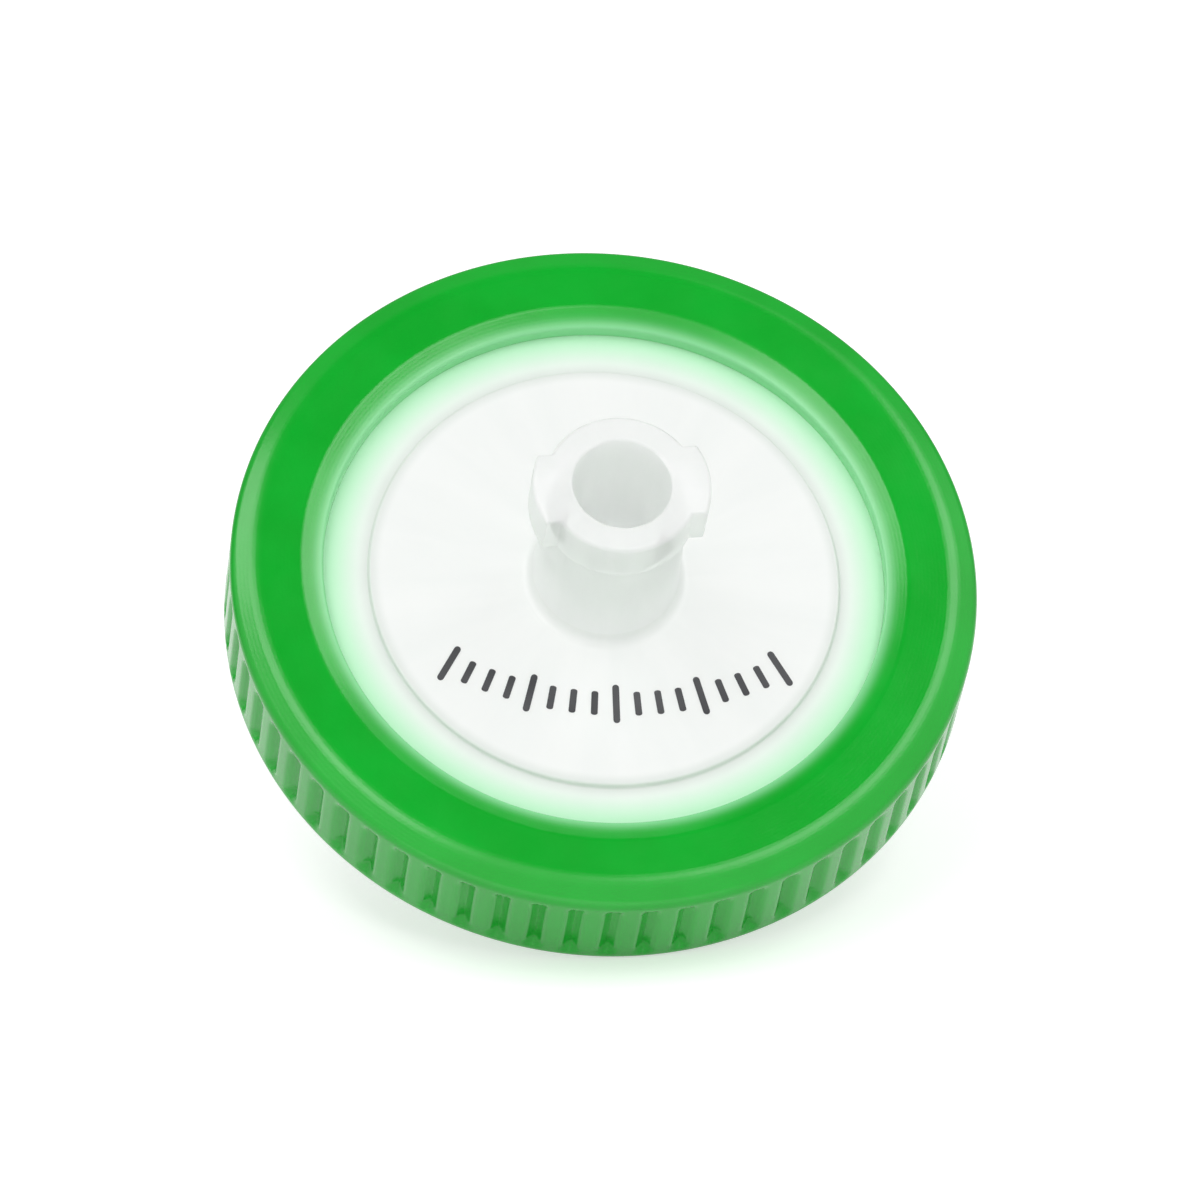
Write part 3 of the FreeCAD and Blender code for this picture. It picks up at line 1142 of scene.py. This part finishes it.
@dataclass
class OutletHalf(TurnedPiece):
    """The outlet half: plate and male Luer nozzle, with rings under the membrane."""

    nozzle_length: float = 10.75
    nozzle_end_radius: float = 1.985
    nozzle_end_bevel: float = 0.4
    nozzle_root_radius: float = 2.2355
    bore_radius: float = 1.05
    collar_length: float = 2.4
    collar_radius: float = 2.8355
    plate_level: float = 0.8
    pad_level: float = 0.55
    pad_radius: float = 10.4
    lip: float = 1.0
    joint_level: float = 3.7
    seat_level: float = 3.07
    drain_floor: float = 2.27
    open_radius: float = 11.2
    seat_radius: float = 12.6
    rim_radius: float = 14.8
    window_radius: float = 12.4
    support_radii: tuple[float, ...] = (8.333, 5.467, 2.6)
    support_width: float = 0.5
    channel_count: int = 6
    channel_width: float = 1.0
    channel_reach: float = 9.767
    channel_slope: float = 0.08
    channel_end: float = 0.05

    def corners(self) -> list[Corner]:
        """Round the outside from the nozzle's end to the rim, and back over the drain floor.

        Returns:
            The corners, in order.
        """
        half_ring, bevel = self.support_width / 2, self.nozzle_end_bevel
        rings = [
            corner
            for middle in self.support_radii
            for corner in (
                Corner(middle + half_ring, self.drain_floor),
                Corner(middle + half_ring, self.seat_level - FIT, 0.08),
                Corner(middle - half_ring, self.seat_level - FIT, 0.08),
                Corner(middle - half_ring, self.drain_floor),
            )
        ]
        return [
            Corner(self.bore_radius, -self.nozzle_length, 0.1),
            Corner(self.nozzle_end_radius - bevel, -self.nozzle_length, 0.3),
            Corner(self.nozzle_end_radius, bevel - self.nozzle_length, 0.3),
            Corner(self.nozzle_root_radius, -self.collar_length, 0.15),
            Corner(self.collar_radius, -self.collar_length, 0.5),
            Corner(self.collar_radius, self.pad_level, 0.4),
            Corner(self.pad_radius, self.pad_level, 0.12),
            Corner(self.pad_radius, self.plate_level, 0.1),
            Corner(self.window_radius - SEAM, self.plate_level),
            Corner(self.window_radius - SEAM, self.lip + FIT),
            Corner(self.rim_radius - FIT, self.lip + FIT),
            Corner(self.rim_radius - FIT, self.joint_level - FIT),
            Corner(self.seat_radius, self.joint_level - FIT),
            Corner(self.seat_radius, self.seat_level - FIT),
            Corner(self.open_radius, self.seat_level - FIT),
            Corner(self.open_radius, self.drain_floor, 0.2),
            *rings,
            Corner(self.bore_radius, self.drain_floor, 0.2),
        ]

    def sizes(self) -> dict[str, float | int]:
        """The drain channels' sizes.

        Returns:
            The name and value of each.
        """
        return {
            "Channel Count": self.channel_count,
            "Channel Width": self.channel_width,
            "Channel Reach": self.channel_reach,
            "Channel Slope": self.channel_slope,
            "Channel End": self.channel_end,
            "Drain Floor": self.drain_floor,
            "Pad Level": self.pad_level,
        }

    def on_port(self, tree: SizedTree, height: Flow) -> Flow:
        """The port is all that hangs below the pad.

        Args:
            tree: The tree, whose inputs are the sizes.
            height: The height of the face's middle.

        Returns:
            1 on the port and 0 elsewhere.
        """
        return tree.graph.sum(Sum.BELOW, height, tree.size("Pad Level") - LEVEL)

    def rule(self, tree: SizedTree, radius: Flow, angle: Flow, height: Flow) -> tuple[Flow, Flow]:
        """The drain channels cut the support rings down to the floor.

        Args:
            tree: The tree, whose inputs are the sizes.
            radius: The point's distance from the axis.
            angle: Its bearing, in radians.
            height: Its height.

        Returns:
            Its new distance from the axis and its new height.
        """
        graph, size = tree.graph, tree.size
        half, slope = size("Channel Width") / 2.0, size("Channel Slope")
        angle = angle + math.pi / size("Channel Count")
        beside = lateral(graph, radius, angle, size("Channel Count"))
        inside = graph.ease(beside, half + slope, half - slope)
        reach = size("Channel Reach")
        near = graph.ease(radius, reach + size("Channel End"), reach)
        raised = graph.sum(Sum.MOST, height - size("Drain Floor"), 0.0)
        return radius, height - raised * inside * near


@dataclass
class PrintedScale:
    """A curved row of plain printed strokes on the inlet pad.

    Attributes:
        level: The height of the pad's top.
        arc_radius: The row's radius of curvature.
        arc_centre: Where the row's curve has its centre, across and along the pad.
        sweep: The angle that the row covers.
        turn: How far the row is turned about the filter's axis.
        count: How many strokes there are.
        long_every: The first of this many strokes is long.
        length: A long stroke's length.
        width: A stroke's width.
        short: A short stroke's length as a share of a long one's.
        thickness: The ink's thickness.
        end_steps: Steps around each rounded end.
    """

    name: str = "printed_strokes"
    finish: Finish = field(default_factory=lambda: INK)
    level: float = 5.05
    arc_radius: float = 15.0
    arc_centre: Point = (0.3, 8.6)
    sweep: float = math.radians(58)
    turn: float = math.radians(-5.3)
    count: int = 17
    long_every: int = 4
    length: float = 1.9
    width: float = 0.3
    short: float = 0.62
    thickness: float = 0.012
    end_steps: int = 6

    def stroke(self) -> bpy.types.Mesh:
        """One long stroke: a thin plate with rounded ends, its length along Y.

        Returns:
            The stroke's mesh.
        """
        mesh = bpy.data.meshes.new(self.name)
        work = bmesh.new()
        half_width, half_length = self.width / 2, self.length / 2
        outline = []
        for side in (1, -1):
            for step in range(self.end_steps + 1):
                around = math.pi * step / self.end_steps
                x = half_width * math.cos(around) * side
                y = (half_length - half_width + half_width * math.sin(around)) * side
                outline.append(work.verts.new((x, y, 0.0)))
        face = work.faces.new(outline)
        top = bmesh.ops.extrude_face_region(work, geom=[face])["geom"]
        rise = [item for item in top if isinstance(item, bmesh.types.BMVert)]
        bmesh.ops.translate(work, verts=rise, vec=(0.0, 0.0, self.thickness))
        bmesh.ops.recalc_face_normals(work, faces=work.faces)
        work.to_mesh(mesh)
        work.free()
        return mesh

    def row(self, material: bpy.types.Material) -> SizedTree:
        """The tree that sets the strokes along their arc.

        Args:
            material: The ink.

        Returns:
            The tree.
        """
        sizes = {
            "Count": self.count,
            "Long Every": self.long_every,
            "Arc Radius": self.arc_radius,
            "Sweep": self.sweep,
            "Short Stroke": self.short,
            "Finish": material,
        }
        tree = SizedTree(f"{self.name}_row", sizes)
        graph = tree.graph
        index = graph.node("GeometryNodeInputIndex")
        steps = tree.size("Count") - 1.0
        angle = (index / steps - 0.5) * tree.size("Sweep")
        across = graph.sum(Sum.SINE, angle) * tree.size("Arc Radius")
        along = graph.sum(Sum.COSINE, angle) * tree.size("Arc Radius") * -1.0
        place = graph.node("ShaderNodeCombineXYZ", None, {"X": across, "Y": along})
        line = graph.node("GeometryNodeMeshLine", None, {"Count": tree.size("Count")})
        points = graph.node("GeometryNodeMeshToPoints", None, {"Mesh": line, "Position": place})
        after_long = graph.sum(Sum.REMAINDER, index, tree.size("Long Every"))
        is_short = graph.sum(Sum.LEAST, after_long, 1.0)
        shrink = 1.0 - is_short * (1.0 - tree.size("Short Stroke"))
        scale = graph.node("ShaderNodeCombineXYZ", None, {"X": 1.0, "Y": shrink, "Z": 1.0})
        euler = graph.node("ShaderNodeCombineXYZ", None, {"Z": angle})
        turned = graph.node("FunctionNodeEulerToRotation", None, {"Euler": euler})
        instances = graph.node(
            "GeometryNodeInstanceOnPoints",
            None,
            {"Points": points, "Instance": tree.given, "Rotation": turned, "Scale": scale},
        )
        tree.end(instances)
        return tree

    def build(self, stance: Stance) -> bpy.types.Object:
        """Make the row and lay it on the pad.

        Args:
            stance: Where the filter lies.

        Returns:
            The finished object.
        """
        obj = bpy.data.objects.new(self.name, self.stroke())
        bpy.context.scene.collection.objects.link(obj)
        self.row(self.finish.build(stance)).run(obj)
        across, along = self.arc_centre
        spot = Matrix.Translation((across, along, self.level + SEAM))
        obj.data.transform(Matrix.Rotation(self.turn, 4, "Z") @ spot)
        settle(obj, stance)
        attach(obj, "root")
        return obj


# ---------------------------------------------------------------------------------------------
# The finishes of this filter
# ---------------------------------------------------------------------------------------------

GREEN = RingPlastic(
    name="green_plastic",
    colour=(0.001, 0.405, 0.020, 1.0),
    second_colour=(0.002, 0.45, 0.026, 1.0),
    roughness=0.2,
    roughness_spread=0.05,
    skin_scale=6.0,
    skin_depth=0.004,
)
MILKY_PLATE = MilkyPlastic(
    name="milky_plate",
    colour=(0.93, 0.95, 0.93, 1.0),
    second_colour=(0.90, 0.925, 0.905, 1.0),
    roughness=0.34,
    roughness_spread=0.05,
    skin_scale=3.0,
    skin_depth=0.003,
    opacity=1.0,
    shade=1.0,
    waxiness=0.1,
    wander=0.6,
)
MILKY_PORT = MilkyPlastic(
    name="milky_port",
    # Paler than the plate's colour though both are the same plastic: a painted lift of light for
    # the hub's side that faces down into shade.
    colour=(0.96, 0.975, 0.965, 1.0),
    second_colour=(0.93, 0.95, 0.94, 1.0),
    roughness=0.34,
    roughness_spread=0.05,
    skin_scale=3.0,
    skin_depth=0.003,
    opacity=0.75,
    shade=0.15,
    waxiness=0.5,
    wander=1.5,
)
FILM = MembraneFilm(
    name="membrane_film",
    colour=(0.90, 0.90, 0.89, 1.0),
    second_colour=(0.86, 0.86, 0.85, 1.0),
    roughness=0.9,
    roughness_spread=0.05,
    skin_scale=14.0,
    skin_depth=0.01,
)
INK = Ink(
    name="print_ink",
    colour=(0.03, 0.03, 0.035, 1.0),
    second_colour=(0.07, 0.07, 0.075, 1.0),
    roughness=0.45,
    roughness_spread=0.1,
    skin_scale=9.0,
    skin_depth=0.004,
)


# ---------------------------------------------------------------------------------------------
# Floor, light and camera
# ---------------------------------------------------------------------------------------------


@dataclass(frozen=True)
class Softbox:
    """A studio lamp with a long face.

    Attributes:
        name: The lamp's name.
        azimuth: Its bearing in degrees; 0 is in front and 90 to the right.
        elevation: Its angle over the floor in degrees.
        distance: From the filter, in metres.
        width: Of its face, in metres.
        height: Of its face, in metres.
        power: In watts.
    """

    name: str
    azimuth: float
    elevation: float
    distance: float
    width: float
    height: float
    power: float

    def build(self, target: Vector) -> None:
        """Hang the lamp and aim it.

        Args:
            target: What it is aimed at.
        """
        lamp = bpy.data.lights.new(self.name, "AREA")
        lamp.shape = "RECTANGLE"
        lamp.size = self.width
        lamp.size_y = self.height
        lamp.energy = self.power
        obj = bpy.data.objects.new(self.name, lamp)
        back = direction(self.azimuth, self.elevation)
        obj.location = target + back * self.distance
        obj.rotation_mode = "QUATERNION"
        obj.rotation_quaternion = (-back).to_track_quat("-Z", "Y")
        bpy.context.scene.collection.objects.link(obj)


def direction(azimuth: float, elevation: float) -> Vector:
    """The way from the filter towards a lamp or the camera.

    Args:
        azimuth: In degrees; 0 is in front, towards -Y, and 90 to the right, towards +X.
        elevation: Over the floor, in degrees.

    Returns:
        A unit vector.
    """
    around, up = math.radians(azimuth), math.radians(elevation)
    flat = math.cos(up)
    return Vector((math.sin(around) * flat, -math.cos(around) * flat, math.sin(up)))


@dataclass
class Studio:
    """A white floor in soft light, and the camera.

    Attributes:
        azimuth: The camera's bearing in degrees; 0 is in front and 90 to the right.
        elevation: The camera's angle over the floor in degrees.
        distance: From the camera to the filter, in metres.
        frame_width: What the camera's view spans at the filter, in metres.
        sensor: The width of the camera's sensor, in millimetres.
        floor_size: The floor's side, in metres.
        floor_colour: The floor's colour.
        floor_roughness: The floor's roughness.
        floor_glow: What is added for the camera and for mirrors, to make the floor white.
        sky: How strongly the sky lights the filter.
        rim_light: How bright mirrors see the sky's upper rim.
        rim_span: The heights of that rim, as the sine of the angle.
        back_wall: How bright mirrors see the sky behind the filter.
        back_span: How far back that begins and is complete.
        ceiling: How bright mirrors see the sky overhead.
        ceiling_span: The heights at which that begins and is complete.
        lamps: The lamps.
    """

    azimuth: float = -8.9
    elevation: float = 24.5
    distance: float = 0.4
    frame_width: float = 0.053
    sensor: float = 36.0
    floor_size: float = 6.0
    floor_colour: Colour = (0.8, 0.8, 0.8, 1.0)
    floor_roughness: float = 0.4
    floor_glow: float = 0.52
    sky: float = 0.57
    rim_light: float = 1.6
    rim_span: Point = (0.6, 0.82)
    back_wall: float = 0.3
    back_span: Point = (0.1, 0.45)
    ceiling: float = 0.05
    ceiling_span: Point = (0.88, 0.95)
    lamps: tuple[Softbox, ...] = (
        Softbox("left_light", -68.0, 64.0, 0.5, 0.5, 0.15, 0.73),
        Softbox("right_light", 60.0, 60.0, 0.5, 0.4, 0.15, 0.48),
        Softbox("front_light", -9.0, 12.0, 0.5, 0.6, 0.3, 0.39),
    )

    def build(self) -> None:
        """Make the floor, the sky, the lamps and the camera.

        The lamps and the camera are placed from the middle of the filter's box.
        """
        low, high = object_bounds()
        target = (low + high) / 2
        self.make_floor()
        self.make_sky()
        for lamp in self.lamps:
            lamp.build(target)
        self.make_camera(target)

    def make_floor(self) -> None:
        """A wide floor that keeps the filter's shadow and is white to the camera elsewhere.

        Its glow is there for the camera and for mirrors alone, so it puts no light on the filter.
        """
        mesh = bpy.data.meshes.new("floor")
        half = self.floor_size / 2
        corners = [(-half, -half, 0), (half, -half, 0), (half, half, 0), (-half, half, 0)]
        mesh.from_pydata(corners, [], [(0, 1, 2, 3)])
        floor = bpy.data.objects.new("floor", mesh)
        bpy.context.scene.collection.objects.link(floor)
        material = bpy.data.materials.new("floor")
        material.use_nodes = True
        graph = Graph(material.node_tree)
        rays = graph.node("ShaderNodeLightPath")
        seen = graph.sum(Sum.MOST, rays, rays.beside("Is Transmission Ray"))
        seen = graph.sum(Sum.MOST, seen, rays.beside("Is Glossy Ray"))
        base = {
            "Base Color": self.floor_colour,
            "Roughness": self.floor_roughness,
            "Emission Color": (1.0, 1.0, 1.0, 1.0),
            "Emission Strength": seen * self.floor_glow,
        }
        shader = graph.node("ShaderNodeBsdfPrincipled", None, base)
        graph.node("ShaderNodeOutputMaterial", None, {"Surface": shader})
        mesh.materials.append(material)
        floor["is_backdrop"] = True

    def make_sky(self) -> None:
        """Even light from all around, and what mirrors see of it.

        The camera sees plain white. Mirrors see a bright rim, which draws the thin highlights
        along the ring's edges, with a dim ceiling over it that keeps the ring's face deep.
        """
        world = bpy.data.worlds.new("sky")
        bpy.context.scene.world = world
        world.use_nodes = True
        graph = Graph(world.node_tree)
        rays = graph.node("ShaderNodeLightPath")
        seen = graph.sum(Sum.MOST, rays, rays.beside("Is Transmission Ray"))
        _, away, up = graph.xyz(graph.node("ShaderNodeTexCoord", None, None, "Generated"))
        rim = 1.0 + graph.ease(up, *self.rim_span) * (self.rim_light - 1.0)
        rim = rim + graph.ease(away, *self.back_span) * (self.back_wall - rim)
        mirror = rim + graph.ease(up, *self.ceiling_span) * (self.ceiling - rim)
        seen = graph.sum(Sum.MOST, seen, mirror * rays.beside("Is Glossy Ray"))
        unseen = 1.0 - graph.sum(Sum.MOST, seen, rays.beside("Is Glossy Ray"))
        strength = seen + unseen * self.sky
        light = {"Color": (1.0, 1.0, 1.0, 1.0), "Strength": strength}
        shader = graph.node("ShaderNodeBackground", None, light)
        graph.node("ShaderNodeOutputWorld", None, {"Surface": shader})

    def make_camera(self, target: Vector) -> None:
        """A long lens, aimed at the filter.

        Args:
            target: What it is aimed at.
        """
        camera = bpy.data.cameras.new("camera")
        camera.sensor_width = self.sensor
        camera.lens = self.sensor * self.distance / self.frame_width
        obj = bpy.data.objects.new("camera", camera)
        back = direction(self.azimuth, self.elevation)
        obj.location = target + back * self.distance
        obj.rotation_mode = "QUATERNION"
        obj.rotation_quaternion = (-back).to_track_quat("-Z", "Y")
        bpy.context.scene.collection.objects.link(obj)
        bpy.context.scene.camera = obj


FINE_SEGMENTS = 360  # around the inlet half
PLAIN_SEGMENTS = 240  # around the outlet half
RIB_SEGMENTS = 12  # from one of the ring's ribs to the next


def main() -> None:
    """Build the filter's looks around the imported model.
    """
    logging.basicConfig(level=logging.INFO, format="%(name)s: %(message)s")
    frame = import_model()
    bpy.context.scene.view_settings.view_transform = "Standard"

    dress = {"slot": Slot.HOUSING, "finish": MILKY_PLATE, "port_finish": MILKY_PORT}
    outlet = OutletHalf("outlet_half", "outlet_housing", segments=PLAIN_SEGMENTS, **dress)
    stance = Stance.of(frame["record"], outlet.nozzle_length)
    inlet = InletHalf("inlet_half", "inlet_housing", segments=FINE_SEGMENTS, **dress)
    segments = SealingRing.rib_count * RIB_SEGMENTS
    ring = SealingRing("ribbed_ring", "sealing_ring", Slot.RING, GREEN, segments)
    for piece in (outlet, inlet, ring, PrintedScale()):
        made = piece.build(stance)
        log.info("%s: %d faces", made.name, len(made.data.polygons))

    membrane = frame["nodes"]["membrane"]
    membrane.material_slots[0].material = FILM.build(stance)
    log.info("%s: dressed", membrane.name)

    Studio().build()


if __name__ == "__main__":
    main()
